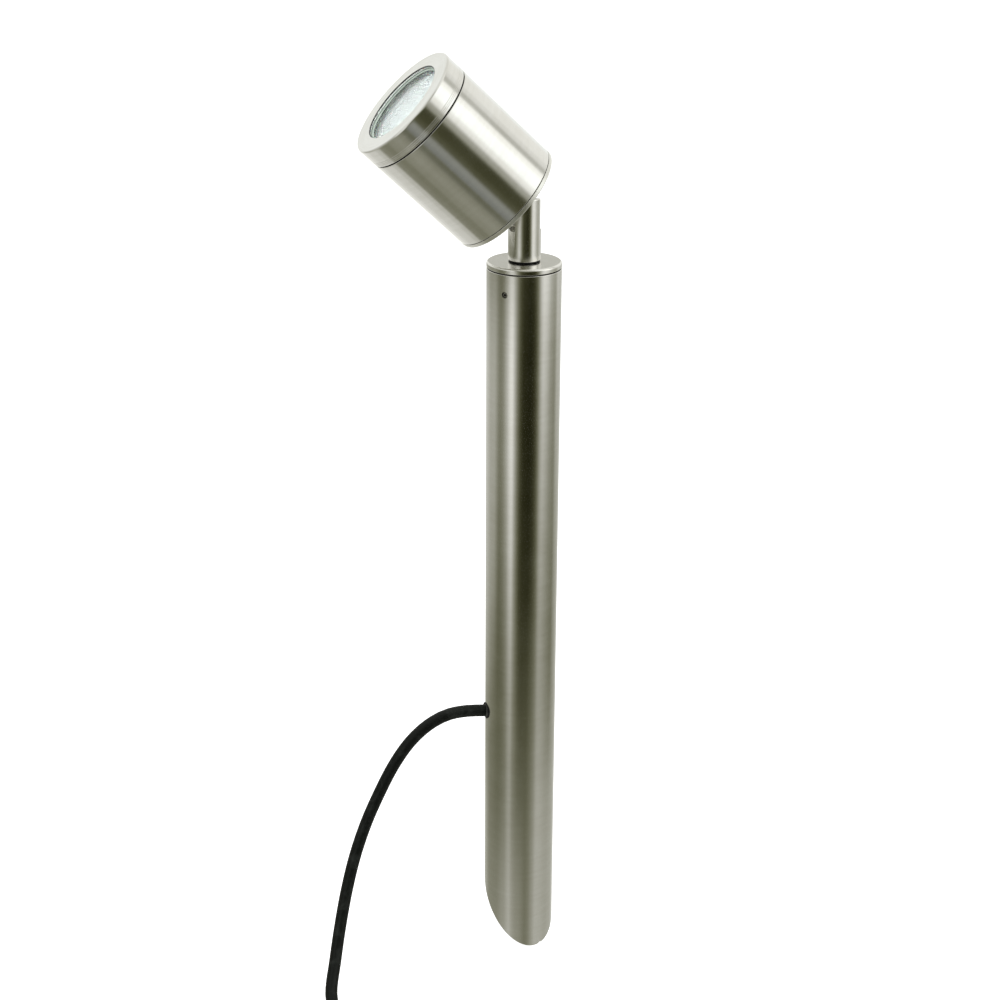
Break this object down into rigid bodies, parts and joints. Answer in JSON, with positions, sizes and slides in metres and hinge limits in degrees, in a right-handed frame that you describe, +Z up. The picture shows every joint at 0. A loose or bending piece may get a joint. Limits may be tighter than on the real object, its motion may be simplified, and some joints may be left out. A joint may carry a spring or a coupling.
{
  "type": "underwater pond light",
  "caption": "Underwater pond spotlight: a round lamp head with a screwed bezel on a swivel knuckle, on a slant-cut steel tube spike, with a supply cable in a tied hank and a connector.",
  "frame": {"origin": "tip of the tube's slanted cut, on the tube's axis, where the spike is pushed into the pond bed", "axes": "+Z up along the tube; the head leans towards -X and tilts about Y"},
  "size_m": [0.1489, 0.219, 0.4945],
  "materials": {
    "brushed_steel": "fine turned and brushed stainless steel",
    "screw_steel": "machined stainless steel",
    "black_rubber": "matt",
    "cable_jacket": "satin, slightly worn",
    "black_plastic": "moulded satin",
    "tie_nylon": "moulded satin",
    "clear_glass": "clear, faintly green",
    "reflector_glass": "faceted dichroic mirror",
    "ceramic": "unglazed ceramic",
    "silicone": "translucent white",
    "potting_resin": "cast",
    "core_brown": "core insulation",
    "core_blue": "core insulation",
    "brass": "bright"
  },
  "bodies": {
    "spike": {"spike_tube": "brushed_steel", "pole_cap": "brushed_steel", "cap_o_ring": "black_rubber", "cap_grub_screw_1": "screw_steel", "cap_grub_screw_2": "screw_steel", "cap_grub_screw_3": "screw_steel", "cable_grommet": "black_rubber", "inner_cable": "cable_jacket", "cord_lead": "cable_jacket", "cord_tail": "cable_jacket", "cord_hank": "cable_jacket", "hank_tie_1": "tie_nylon", "hank_tie_2": "tie_nylon", "connector_boot": "black_rubber", "connector_body": "black_plastic", "connector_nut": "black_plastic", "connector_pin_1": "brass", "connector_pin_2": "brass"},
    "stem": {"swivel_stem": "brushed_steel", "stem_o_ring": "black_rubber", "stem_washer": "screw_steel", "stem_lock_nut": "screw_steel", "pivot_screw_front": "screw_steel", "pivot_screw_rear": "screw_steel", "stem_lead_live": "core_brown", "stem_lead_neutral": "core_blue"},
    "head": {"rear_cap": "brushed_steel", "rear_cap_o_ring": "black_rubber", "head_body": "brushed_steel", "resin_seal": "potting_resin", "head_lead_live": "core_brown", "head_lead_neutral": "core_blue", "lamp_holder": "ceramic", "holder_screw_1": "screw_steel", "holder_screw_2": "screw_steel", "lamp_base": "ceramic", "lamp_pin_1": "screw_steel", "lamp_pin_2": "screw_steel", "lamp_reflector": "reflector_glass", "lamp_capsule": "clear_glass", "lamp_cover_glass": "clear_glass", "lamp_cushion_ring": "silicone"},
    "lens_pack": {"lens_glass": "clear_glass", "lens_gasket": "black_rubber", "lens_retaining_ring": "screw_steel"},
    "bezel": {"bezel": "brushed_steel", "bezel_o_ring": "black_rubber"}
  },
  "joints": [
    {"name": "stem_pan", "type": "hinge", "parent": "spike", "child": "stem", "pos_m": [0, 0, 0.3906], "axis": [0, 0, 1], "range_deg": [-170, 170]},
    {"name": "head_tilt", "type": "hinge", "parent": "stem", "child": "head", "pos_m": [0, 0, 0.4133], "axis": [0, -1, 0], "range_deg": [-121.4, 28.6]},
    {"name": "lens_slide", "type": "slide", "parent": "head", "child": "lens_pack", "axis": [-0.7242, 0, 0.6896], "range_m": [0, 0.006]},
    {"name": "bezel_turn", "type": "hinge", "parent": "lens_pack", "child": "bezel", "pos_m": [-0.06221, 0, 0.47254], "axis": [-0.7242, 0, 0.6896], "range_deg": [0, 1440]}
  ],
  "couplings": [
    {"joint": "lens_slide", "follows": "bezel_turn", "m_per_rad": 0.00023873}
  ]
}
